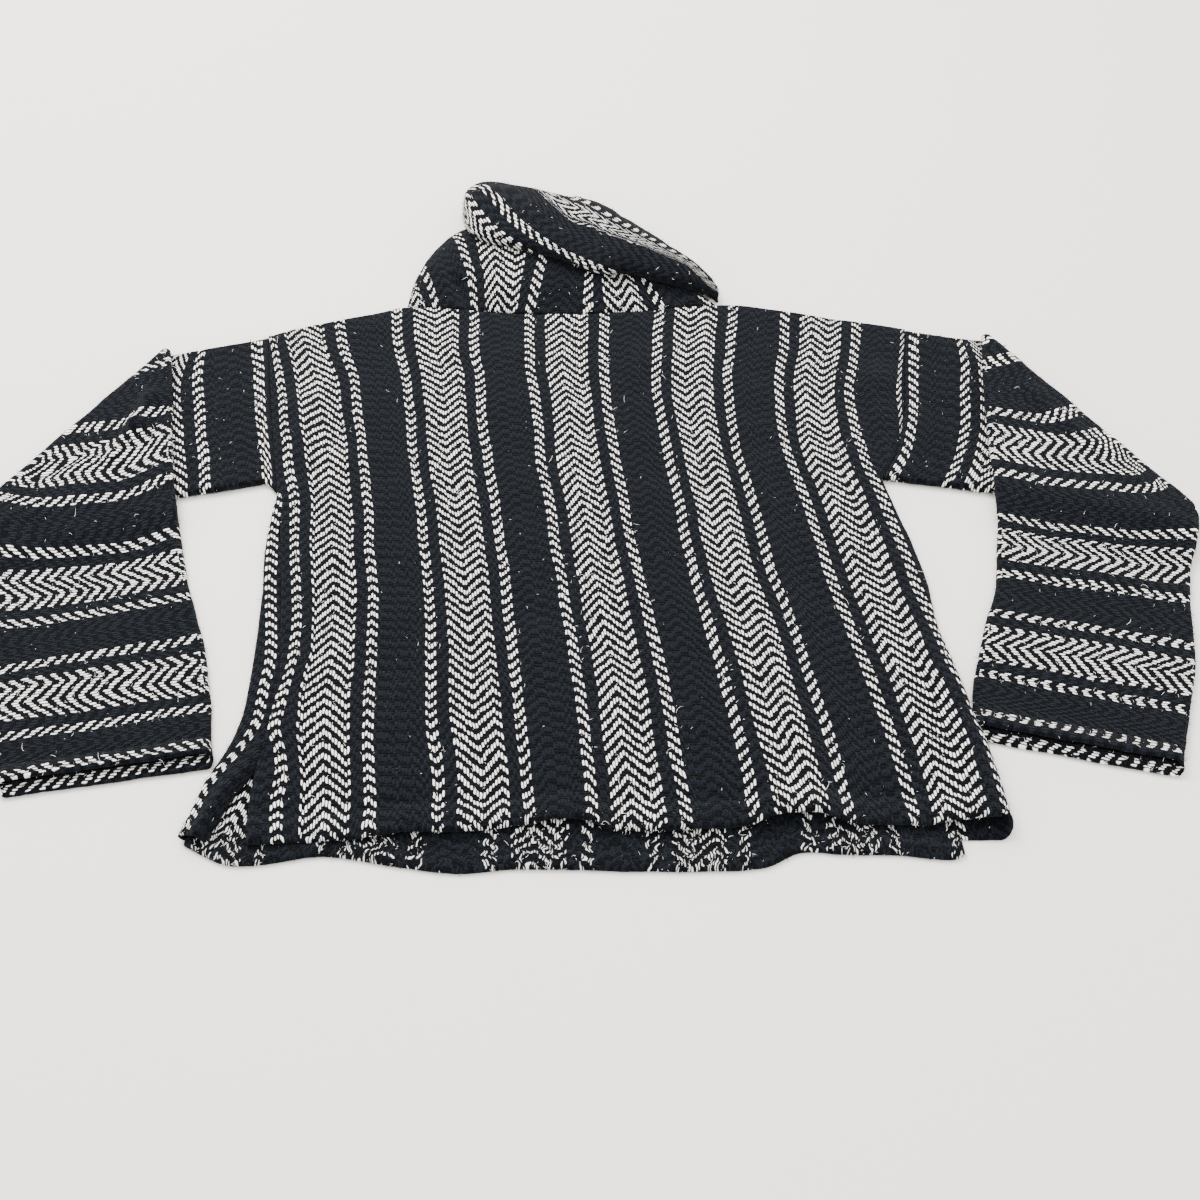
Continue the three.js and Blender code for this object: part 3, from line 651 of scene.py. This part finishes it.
# The wrap at the right: round the roll, which slides down at the hem, and under
def wrap_row(v):
    right = settle(lambda y: read(SIDES, y, "right"), v, BACK_HEM)
    radius = right_roll(v)
    turn = right[0] - EDGE_INSET - radius
    u = OUTER_BAND + turn - settle(lambda y: band_x(OUTER_BAND, y), v, BACK_HEM)[0]
    slide = 14 * soft((v - 1.7) / 0.3)
    row = []
    for degrees in range(90, -91, -10):
        a = math.radians(degrees)
        y = right[1] - slide * soft((90 - degrees) / 180)
        row.append((turn + radius * math.cos(a), y, LOW_MID + radius + radius * math.sin(a),
                    u + radius * math.radians(90 - degrees), woven(y)))
    for f in steps(0, 1, 10)[1:]:
        x = mix(turn, under_x(right[1]), f)
        row.append((x, right[1] - slide, LOW_MID, row[18][3] + turn - x,
                    woven(right[1]) - slide))
    return row


# A hem rolled under from its last row
def turned_under(row, radius):
    rows = []
    for degrees in (30, 60, 90, 120, 150, 180):
        a = math.radians(degrees)
        rows.append([(x, y - radius * math.sin(a), z - radius * (1 - math.cos(a)), u,
                      v - radius * a, worn) for x, y, z, u, v, worn in row])
    rows.append([(x, y + 9, z, u, v - 9, worn) for x, y, z, u, v, worn in rows[-1]])
    return rows


back_vs = steps(0, 0.04, 5) + steps(0.04, 2, 168)[1:]
back_top_rows = [back_row(v) for v in back_vs]
back_top_rows += turned_under(back_top_rows[-1], 1.7)
back_wrap = [wrap_row(v) for v in steps(1.0001, 2, 90)]
back_panel = cloth_piece("back_panel_cloth", [back_top_rows, back_wrap], 1.0)
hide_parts("back_panel")
back_panel_fluff = fluff(back_panel, "back_panel_fluff", 8000, 2)

# Sleeves
# Each sleeve is one tube of cloth with its stripes running round it. It runs out from the
# armhole, folds back over itself on a slant and lies down beside the body.

FIRST_MID = LOW_MID + EDGE_RADIUS
FOLD_RADIUS = FIRST_MID + 0.25
SHOULDER_TIPS = {"left": 524.5, "right": 534}
# The warps hang slackest this far down the sleeve, and over this reach either way
SLACKEST = 235
SLACK_REACH = 90
# A ring of the folded sleeve: its two edges a and b, its height, and how far down the sleeve
# each edge is
SLEEVE_COLUMNS = ["ax", "ay", "bx", "by", "z", "sa", "sb"]
# corner and elbow are how far down the sleeve its warps cross the two ends of the fold, and
# flap is the same at the corner once it is folded over. even is what lies flat before the
# fold, at the shoulder and how much more at the underarm. sag is how far the warps hang
# slack between, bow how far the underarm edge is drawn up, and cuff how much more cloth
# the lower layer shows at the cuff. first_warp is the warp that lies along the armhole.
LEFT_FOLD = {"ax": -382, "ay": 500, "bx": -505, "by": 309, "corner": 101, "elbow": 245,
             "flap": 110, "even": (70, 160), "sag": 15, "bow": 14, "cuff": 0, "first_warp": -90}
RIGHT_FOLD = {"ax": 359, "ay": 520, "bx": 505, "by": 305, "corner": 98, "elbow": 262,
              "flap": 101, "even": (64, 205), "sag": 8, "bow": 0, "cuff": 10,
              "first_warp": 144}
LEFT_CREASES = named(["x0", "y0", "x1", "y1", "width", "height"], [
    (-388, 436, -396, 398, 7, 6.5), (-396, 398, -408, 360, 7, 6),
    (-378, 420, -384, 366, 7, -2),
    (-352, 300, -470, 262, 16, 2), (-310, 140, -420, 128, 18, 1.6),
    (-372, 226, -380, 150, 14, 1.2)])
RIGHT_CREASES = named(["x0", "y0", "x1", "y1", "width", "height"], [
    (350, 330, 470, 292, 16, 2), (352, 262, 440, 232, 14, 1.8), (392, 446, 430, 380, 9, 2.4),
    (330, 160, 420, 150, 18, 1.5), (278, 352, 300, 338, 7, 2)])
LEFT_RINGS = named(SLEEVE_COLUMNS, [
    (-372, 452, -511, 300, 12.9, 147, 256), (-362, 388, -511, 290, 12.9, 203, 266),
    (-354, 345, -509, 278, 13.2, 236, 276), (-344, 300, -506, 260, 9, 275, 292),
    (-335, 262, -500, 237, 4, 308, 311), (-321, 217, -489, 182, 4, 357, 357),
    (-305, 172, -478, 140, 4, 408, 404), (-297, 140, -469, 108, 4, 440, 441),
    (-289, 107, -459, 74, 4, 474, 475), (-284, 73, -443, 44, 4.6, 515, 514),
    (-281, 61, -438, 34, 4.9, 530, 527)])
RIGHT_RINGS = named(SLEEVE_COLUMNS, [
    (352, 462, 509, 298, 12.9, 134, 270), (348, 412, 508, 290, 12.9, 179, 276),
    (344, 360, 506, 282, 13.2, 227, 284), (342, 306, 502, 268, 9, 282, 297),
    (337, 268, 493, 243, 4, 329, 329), (331, 229, 485, 206, 4, 371, 364),
    (318, 194, 479, 161, 4, 414, 410), (308, 162, 472, 133, 4, 447, 443),
    (299, 132, 461, 100, 4, 484, 477), (295, 104, 450, 68, 4.6, 518, 516),
    (294, 87, 446, 52, 4.9, 535, 534)])


# A flat tube's section: along its lower skin, round the far edge, back and round again
def tube_loop(length, radius):
    start = radius + EDGE_INSET
    loop = [(mix(start, length - start, f), -radius) for f in steps(0, 1, 46)]
    for degrees in range(-70, 71, 20):
        a = math.radians(degrees)
        loop.append((length - start + radius * math.cos(a), radius * math.sin(a)))
    loop += [(mix(length - start, start, f), radius) for f in steps(0, 1, 46)]
    for degrees in range(70, -71, -20):
        a = math.radians(degrees)
        loop.append((start - radius * math.cos(a), radius * math.sin(a)))
    return loop + loop[:1]


# The cuff's layers part a little: they lift, open and slip past each other, and its hem
# turns in by steps of (past the edge, towards the middle)
CUFF_LIFT = 1.2
CUFF_OPENS = 2.2
CUFF_SLIP = 5.0
CUFF_HEM = ((1.4, 0.5), (1.6, 1.3), (0.8, 2.0), (-3, 2.2), (-12, 2.2))
CUFF_WEAR = 0.3


# A stack of flat loops: out from the armhole, over the slanted fold, and down to the cuff
def sleeve(name, side, fold, rows, creases):
    edge = "left" if side < 0 else "right"
    top_y = SHOULDER_TIPS[edge]
    pit_y = (LEFT_ARMPIT if side < 0 else RIGHT_ARMPIT)[1]
    along = Vector((fold["bx"] - fold["ax"], fold["by"] - fold["ay"], 0))
    fold_length = along.length
    along.normalize()
    outward = Vector((side * abs(along.y), abs(along.x), 0))
    corner_at = Vector((fold["ax"], fold["ay"], 0))
    arm_length = top_y - pit_y
    turn = -side
    corner, elbow, first_warp = fold["corner"], fold["elbow"], fold["first_warp"]

    def slack(s, t):
        near = math.exp(-((s - SLACKEST) / SLACK_REACH) ** 2)
        return s - fold["sag"] * near * soft(t / 0.3) * soft((1 - t) / 0.35)

    grid = []
    for f in steps(0, 0.97, 40):
        ring = []
        for a, h in tube_loop(arm_length, EDGE_RADIUS):
            t = a / arm_length
            y = top_y - a
            x = read(ARMHOLE, y, edge) + side * SEAM_GAP
            end = corner_at + along * (t * fold_length)
            even = fold["even"][0] + fold["even"][1] * t
            folded = slack(mix(corner, elbow, t), t)
            s = even * f - 1.5 + (folded - even + 1.5) * f ** mix(3, 8, t)
            lift = fold["bow"] * t * t * soft(f / 0.04) * max(0, 1 - f / 0.45)
            raised = crease(x, y, creases) if f < 0.3 and h > 0 else 0.0
            ring.append((mix(x, end.x, f), mix(y, end.y, f) + lift, FIRST_MID + h + raised,
                         s + first_warp))
        grid.append(ring)
    for degrees in range(0, 181, 12):
        angle = math.radians(degrees)
        ring = []
        for a, h in tube_loop(fold_length, EDGE_RADIUS):
            reach = FOLD_RADIUS - h
            p = corner_at + along * a + outward * (reach * math.sin(angle))
            t = a / fold_length
            s = slack(mix(corner, elbow, t), t) + reach * (angle - math.pi / 2) * 0.3
            ring.append((p.x, p.y, FIRST_MID + FOLD_RADIUS - reach * math.cos(angle),
                         s + first_warp))
        grid.append(ring)
    start = dict(fold, z=FIRST_MID + 2 * FOLD_RADIUS, sa=fold["flap"], sb=elbow + 3)
    table = [dict(row, key=i) for i, row in enumerate([start, *rows])]
    last = len(table) - 1
    places = steps(0, last, 9 * last)[2:]
    for place in places:
        row = {c: read(table, place, c) for c in SLEEVE_COLUMNS}
        length = math.hypot(row["bx"] - row["ax"], row["by"] - row["ay"])
        opened = soft((place - last + 1.2) / 1.2)
        radius = EDGE_RADIUS + CUFF_OPENS * opened
        back = Vector((table[last]["ax"] - table[last - 1]["ax"],
                       table[last]["ay"] - table[last - 1]["ay"])).normalized()
        ring = []
        for a, h in tube_loop(length, radius):
            t = a / length
            slip = CUFF_SLIP * opened * h / radius
            s = slack(mix(row["sa"], row["sb"], t), t)
            s += fold["cuff"] * opened * soft((h / radius + 1) / 2)
            x, y = mix(row["ax"], row["bx"], t), mix(row["ay"], row["by"], t)
            raised = crease(x, y, creases) * soft(-h / radius * 2)
            ring.append((x + back.x * slip, y + back.y * slip,
                         row["z"] + CUFF_LIFT * opened - h + raised, s + first_warp))
        grid.append(ring)
    final = grid[-1]
    middle_z = table[last]["z"] + CUFF_LIFT
    for out, inward in CUFF_HEM:
        grid.append([(x + back.x * out, y + back.y * out,
                      z + (middle_z - z) * inward / (EDGE_RADIUS + CUFF_OPENS),
                      u + out, CUFF_WEAR)
                     for x, y, z, u in final])
    # Along the warps the cloth goes round the tube, less what it goes across them
    for ring in grid:
        around = 0.0
        for i, p in enumerate(ring):
            if i:
                q = ring[i - 1]
                run = math.dist(p[:3], q[:3])
                around += math.sqrt(max(run * run - (p[3] - q[3]) ** 2, 0.1 * run * run))
            ring[i] = (*p[:4], turn * around, *p[4:])
    return cloth_piece(name, [grid], 0.8, flip=side > 0, ring=True)


left_sleeve = sleeve("sleeve_left_cloth", -1, LEFT_FOLD, LEFT_RINGS, LEFT_CREASES)
right_sleeve = sleeve("sleeve_right_cloth", 1, RIGHT_FOLD, RIGHT_RINGS, RIGHT_CREASES)
for piece, node, seed in ((left_sleeve, "sleeve_left", 3), (right_sleeve, "sleeve_right", 4)):
    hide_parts(node)
    loose = fluff(piece, node + "_fluff", 5200, seed, closed=True)

# Hood
# Two layers of cloth rise from the neck seam. The upper one is rounded over the lower, and
# the crown of the hood is rolled back over it towards the body, its stripes along the roll.

HOOD_OUTLINE = named(["key", "left", "right"], [
    (0, -170, 118), (26, -168, 96), (52, -163, 72), (77, -153, 48), (94, -142, 32),
    (108, -129, 18), (124, -108, 0)])
HOOD_RISE = named(["key", "z"], [
    (0, 7), (8, 10), (28, 16), (52, 20), (77, 22), (94, 21), (108, 17), (124, 8)])
HOOD_STRIPES = named(["key", "y560", "y600", "y650"], [
    (-117, -168, -180, -192), (-84, -142, -156, -172), (-33, -107, -112, -127),
    (0, -84, -84, -90), (33, -58, -50, -40), (84, -1, -1, 0), (117, 34, 26, 20),
    (150, 69, 46, 26), (190, 105, 85, 60)])
HOOD_CREASES = named(["x0", "y0", "x1", "y1", "width", "height"], [
    (-112, 560, -122, 592, 7, -5), (-126, 566, -150, 610, 9, 1.8),
    (-60, 560, -46, 640, 9, 1.4), (-28, 560, -20, 600, 12, -1.6), (60, 560, 50, 590, 8, -1.6),
    (12, 565, 8, 620, 9, 1.4), (-92, 566, -88, 622, 8, 1.2)])
HOOD_BASE = 3.3
HOOD_EDGE = 3
NECK_Y = 563
CLOTH_ABOVE_MID = 1.3


# A point of the hood, from its share of the way across and its distance from the neck seam
def hood_spot(across, away, spread):
    left = read(HOOD_OUTLINE, away, "left") - spread
    right = read(HOOD_OUTLINE, away, "right") + spread
    x = mix(left, right, across)
    start = read(TOP_EDGE, x, "y") + 2 * SEAM_GAP + away
    return x, mix(start, NECK_Y + away, soft(away / 50))


# How high the hood's upper layer is rounded there
def hood_top(across, away):
    side = abs(2 * across - 1)
    full = math.sqrt(max(0, 1 - side ** 5))
    edge = HOOD_BASE + HOOD_EDGE
    return mix(edge, max(edge, read(HOOD_RISE, away, "z")), full)


# Which warp lies there, from three lines across the hood
def hood_u(x, y):
    columns = [("y560", 560), ("y600", 600), ("y650", 650)]
    (low, a), (high, b) = columns[:2] if y < 600 else columns[1:]
    f = (y - a) / (b - a)
    edges = [(row["key"], mix(row[low], row[high], f)) for row in HOOD_STRIPES]
    i = 0
    while i < len(edges) - 2 and edges[i + 1][1] < x:
        i += 1
    (u0, x0), (u1, x1) = edges[i], edges[i + 1]
    return mix(u0, u1, (x - x0) / (x1 - x0))


hood_low_grid, hood_top_grid = [], []
for away in steps(124, 0, 50):
    low_row, top_row = [], []
    for across in steps(0, 1, 96):
        x, y = hood_spot(across, away, 2)
        low_row.append((x, y, LOW_MID, hood_u(x, y), y))
        x, y = hood_spot(across, away, -1)
        z = hood_top(across, away) - CLOTH_ABOVE_MID + crease(x, y, HOOD_CREASES)
        top_row.append((x, y, z, hood_u(x, y), y))
    hood_low_grid.append(low_row)
    hood_top_grid.append(top_row)
hood_under = cloth_piece("hood_under_cloth", [hood_low_grid], 0.3)
hood_back = cloth_piece("hood_back_cloth", [hood_top_grid], 1.0)

CROWN = named(["fx", "fy", "gx", "gy", "crest"], [
    (-122, 676, -124, 702, 26), (-118, 655, -121, 720, 36), (-102, 638, -102, 732, 41),
    (-65, 626, -66, 724, 42), (-30, 612, -28, 712, 41), (4, 595, 0, 701, 40),
    (35, 595, 32, 678, 38), (62, 588, 60, 652, 35), (92, 583, 90, 624, 29),
    (112, 579, 112, 600, 20), (120, 579, 120, 587, 13)])
# Where the stripes lie on the roll, in twelfths of the way over it from back to front
CROWN_STRIPES = named(["far", "white", "dark", "rope", "band"], [
    (-12, -8, -6, -2, 0), (-11, -7, -5, 3.0, 4.6), (-7, -3, -2, 4.7, 7.8), (-2, 1.6, 2, 8.6, 11),
    (2.5, 5.8, 6.0, 10.3, 12.6), (3.8, 6.2, 6.4, 10.9, 14), (5.2, 6.8, 7.0, 12.8, 16),
    (5.4, 6.7, 6.9, 13.2, 16), (5.6, 6.8, 7.0, 13.6, 17), (6.8, 8.6, 9, 15, 18),
    (6.5, 8.6, 9, 15, 18)])
CROWN_RIM = 4


# The height of what the crown lies on
def hood_surface(x, y):
    away = y - NECK_Y
    if away > 128:
        return 1.2
    left = read(HOOD_OUTLINE, max(0, away), "left") - 3
    right = read(HOOD_OUTLINE, max(0, away), "right") + 3
    if x < left or x > right:
        return 1.2
    return hood_top(min(1, max(0, (x - left) / (right - left))), max(0, away)) + 1.5


# Which warp lies on the crown, some steps of fifteen degrees over the roll
def crown_u(place, step):
    row = {c: read(crown_stripes, place, c) for c in ("far", "white", "dark", "rope", "band")}
    marks = [(row["far"] - 10, 215), (row["far"], 151), (row["white"], 102),
             (row["dark"], 78), (row["rope"], 34), (row["band"], 20), (row["band"] + 16, -60)]
    i = 0
    while i < len(marks) - 2 and marks[i + 1][0] < step:
        i += 1
    (s0, u0), (s1, u1) = marks[i], marks[i + 1]
    return mix(u0, u1, (step - s0) / (s1 - s0))


crown_table = [dict(row, key=i) for i, row in enumerate(CROWN)]
crown_stripes = [dict(row, key=i) for i, row in enumerate(CROWN_STRIPES)]
crown_grid, walked, before = [], [], []
for place in steps(0, 10, 80):
    row = {c: read(crown_table, place, c) for c in ("fx", "fy", "gx", "gy", "crest")}
    ring = []
    for f in steps(0.03, 0.97, 26):
        x, y = mix(row["fx"], row["gx"], f), mix(row["fy"], row["gy"], f)
        z = max(hood_surface(x, y + d) for d in (-14, -7, 0, 7, 14))
        ring.append((x, y, z, crown_u(place, 12) - 26 * f))
    base_f, base_g = ring[0][2], ring[-1][2]
    for degrees in range(10, 171, 5):
        a = math.radians(degrees)
        f = 0.5 + 0.5 * math.cos(a)
        base = mix(base_f, base_g, f) + CROWN_RIM * 0.5
        z = base + max(3, row["crest"] - 1 - base) * math.sin(a) ** 0.7
        ring.append((mix(row["fx"], row["gx"], f), mix(row["fy"], row["gy"], f), z,
                     crown_u(place, degrees / 15)))
    ring.append(ring[0][:3] + (crown_u(place, 12),))
    walked = [w + math.dist(p[:3], q[:3]) for w, p, q in zip(walked, ring, before)] or (
        [0.0] * len(ring))
    before = ring
    crown_grid.append([(*p, w) for p, w in zip(ring, walked)])
for end, order in ((0, 0), (-1, len(crown_grid) + 1)):
    ring = crown_grid[end]
    middle = [sum(p[i] for p in ring[:-1]) / (len(ring) - 1) for i in range(3)]
    cap = [(mix(x, middle[0], 0.9), mix(y, middle[1], 0.9), mix(z, middle[2], 0.9), u, v)
           for x, y, z, u, v in ring]
    crown_grid.insert(order, cap)
hood_crown = cloth_piece("hood_crown_cloth", [crown_grid], 1.2, ring=True, thickness=1.6)
for piece, node in ((hood_under, "hood_under"), (hood_back, "hood_back"),
                    (hood_crown, "hood_crown")):
    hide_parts(node)
under_fluff = fluff(hood_under, "hood_under_fluff", 300, 5)
back_fluff = fluff(hood_back, "hood_back_fluff", 1300, 6)
crown_fluff = fluff(hood_crown, "hood_crown_fluff", 3400, 7, closed=True)

# Table top, light and camera
# A plain pale surface, one broad soft light from behind and above, and the photo's view.

surface = bpy.data.meshes.new("floor")
reach = 3.0
surface.from_pydata([(-reach, -reach, 0), (reach, -reach, 0), (reach, reach, 0),
                     (-reach, reach, 0)], [], [(0, 1, 2, 3)])
floor = bpy.data.objects.new("floor", surface)
bpy.context.collection.objects.link(floor)
# A matt surface: it gives back no reflection, only the cloth's soft contact shadow
plain = bpy.data.materials.new("pale_table")
plain.use_nodes = True
plain.node_tree.nodes["Principled BSDF"].inputs["Base Color"].default_value = linear("#e8e4da")
plain.node_tree.nodes["Principled BSDF"].inputs["Roughness"].default_value = 0.7
surface.materials.append(plain)

world = bpy.data.worlds.new("studio")
world.use_nodes = True
world.node_tree.nodes["Background"].inputs["Color"].default_value = linear("#f4f6fa")
world.node_tree.nodes["Background"].inputs["Strength"].default_value = 2.35
bpy.context.scene.world = world

for label, spot, size, power in (("window", (-0.9, 1.3, 2.0), 1.4, 130),
                                 ("ceiling", (0.7, -0.6, 2.3), 1.8, 25)):
    lamp = bpy.data.lights.new(label, "AREA")
    lamp.size = size
    lamp.energy = power
    light = bpy.data.objects.new(label, lamp)
    light.location = spot
    light.rotation_euler = (-Vector(spot)).to_track_quat("-Z", "Y").to_euler()
    bpy.context.collection.objects.link(light)

CAMERA_AT = (0.0094, -0.9989, 1.072)
CAMERA_TILT = math.radians(39)
lens = bpy.data.cameras.new("camera")
lens.lens = 51
lens.sensor_width = 36
camera = bpy.data.objects.new("camera", lens)
camera.location = CAMERA_AT
camera.rotation_euler = (CAMERA_TILT, 0, 0)
bpy.context.collection.objects.link(camera)
bpy.context.scene.camera = camera
